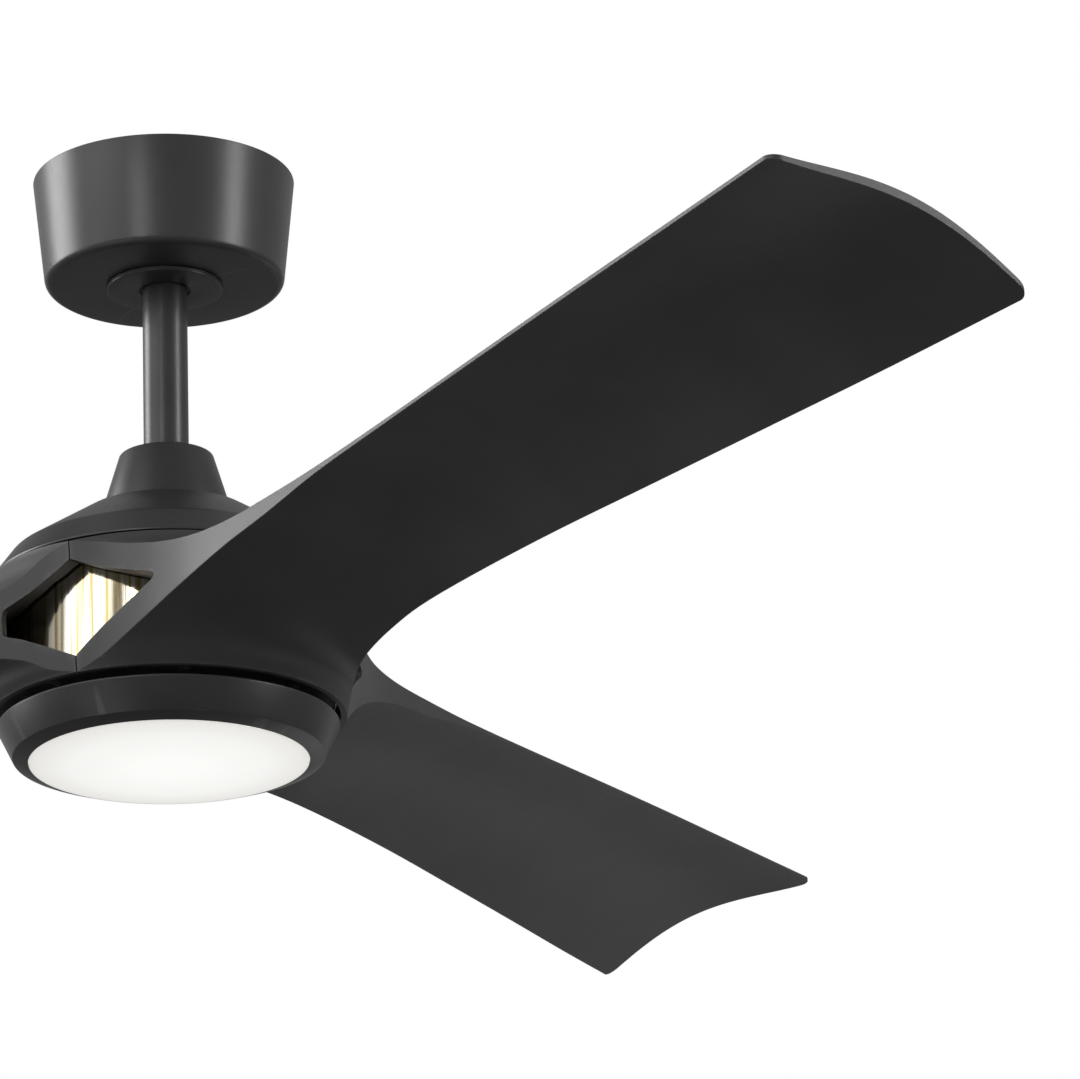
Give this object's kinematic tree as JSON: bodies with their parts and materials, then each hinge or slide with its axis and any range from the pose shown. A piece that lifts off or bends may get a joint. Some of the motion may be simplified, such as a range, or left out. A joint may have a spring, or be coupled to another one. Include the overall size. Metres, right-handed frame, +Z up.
{
  "type": "ceiling fan with light",
  "caption": "Downrod ceiling fan with propeller-shaped blades that close into a windowed hub band round a gold sleeve, and a flat round light under the motor.",
  "frame": {"origin": "on the fan's vertical axis, in the ceiling plane: the centre of the hanger plate's top face", "axes": "+Z up along the fan's axis, into the ceiling. One blade points along -X, and the other two at 60 degrees either side of +X."},
  "size_m": [1.1317, 1.3009, 0.3572],
  "materials": {
    "satin_black": "satin black powder coat",
    "blade_black": "fine-textured matt black moulding",
    "gold_sleeve": "polished gold plating",
    "black_screw": "black finished screws",
    "zinc_plate": "zinc plated, semi-bright",
    "turned_steel": "turned steel",
    "rotor_iron": "dark cast, machined",
    "lamination": "stacked laminations, varnished",
    "copper_wire": "enamelled copper wire",
    "magnet": "sintered ferrite, matt",
    "aluminium": "bare pressed aluminium",
    "nylon": "moulded nylon, matt",
    "circuit_board": "solder mask, semi-gloss",
    "led_board": "white reflective board",
    "frosted_lens": "opal acrylic, satin, lit from behind",
    "cable": "black cable sheath"
  },
  "bodies": {
    "ceiling": {"hanger_bracket": "zinc_plate", "remote_receiver": "nylon"},
    "canopy": {"canopy": "satin_black", "canopy_screw_1": "zinc_plate", "canopy_screw_2": "zinc_plate"},
    "trim_disc": {"canopy_trim_disc": "satin_black"},
    "hanging": {"hanger_ball": "nylon", "hanger_pin": "zinc_plate", "ball_set_screw": "zinc_plate", "downrod": "satin_black", "lead_wires": "cable", "yoke": "turned_steel", "clevis_pin": "zinc_plate", "hairpin_clip": "zinc_plate", "yoke_set_screw": "zinc_plate", "motor_shaft": "turned_steel", "stator_core": "lamination", "stator_winding_upper": "copper_wire", "stator_winding_lower": "copper_wire", "motor_board": "circuit_board", "shaft_nut": "zinc_plate", "kit_plate": "zinc_plate", "kit_pan": "satin_black", "kit_screw_1": "zinc_plate", "kit_screw_2": "zinc_plate", "kit_screw_3": "zinc_plate", "led_driver": "aluminium", "led_board": "led_board"},
    "coupling_cover": {"coupling_cover": "satin_black"},
    "rotor": {"upper_bearing": "turned_steel", "lower_bearing": "turned_steel", "magnet_ring": "magnet", "rotor_upper_shell": "rotor_iron", "rotor_lower_shell": "rotor_iron", "motor_cover": "satin_black", "accent_sleeve": "gold_sleeve", "blade_1": "blade_black", "blade_2": "blade_black", "blade_3": "blade_black", "blade_screw_1": "black_screw", "blade_screw_2": "black_screw", "blade_screw_3": "black_screw", "blade_screw_4": "black_screw", "blade_screw_5": "black_screw", "blade_screw_6": "black_screw"},
    "diffuser": {"light_diffuser": "frosted_lens"}
  },
  "joints": [
    {"name": "hanger_swivel", "type": "hinge", "parent": "ceiling", "child": "hanging", "pos_m": [0, 0, -0.032], "axis": [1, 0, 0], "range_deg": [-1.2, 1.2]},
    {"name": "canopy_slide", "type": "slide", "parent": "ceiling", "child": "canopy", "axis": [0, 0, 1], "range_m": [-0.035, 0]},
    {"name": "trim_disc_slide", "type": "slide", "parent": "canopy", "child": "trim_disc", "axis": [0, 0, 1], "range_m": [-0.01, 0]},
    {"name": "coupling_cover_slide", "type": "slide", "parent": "hanging", "child": "coupling_cover", "axis": [0, 0, 1], "range_m": [0, 0.04]},
    {"name": "rotor_spin", "type": "hinge", "parent": "hanging", "child": "rotor", "pos_m": [0, 0, -0.29], "axis": [0, 0, 1], "continuous": true},
    {"name": "diffuser_twist", "type": "hinge", "parent": "hanging", "child": "diffuser", "pos_m": [0, 0, -0.352], "axis": [0, 0, 1], "range_deg": [0, 25]}
  ]
}
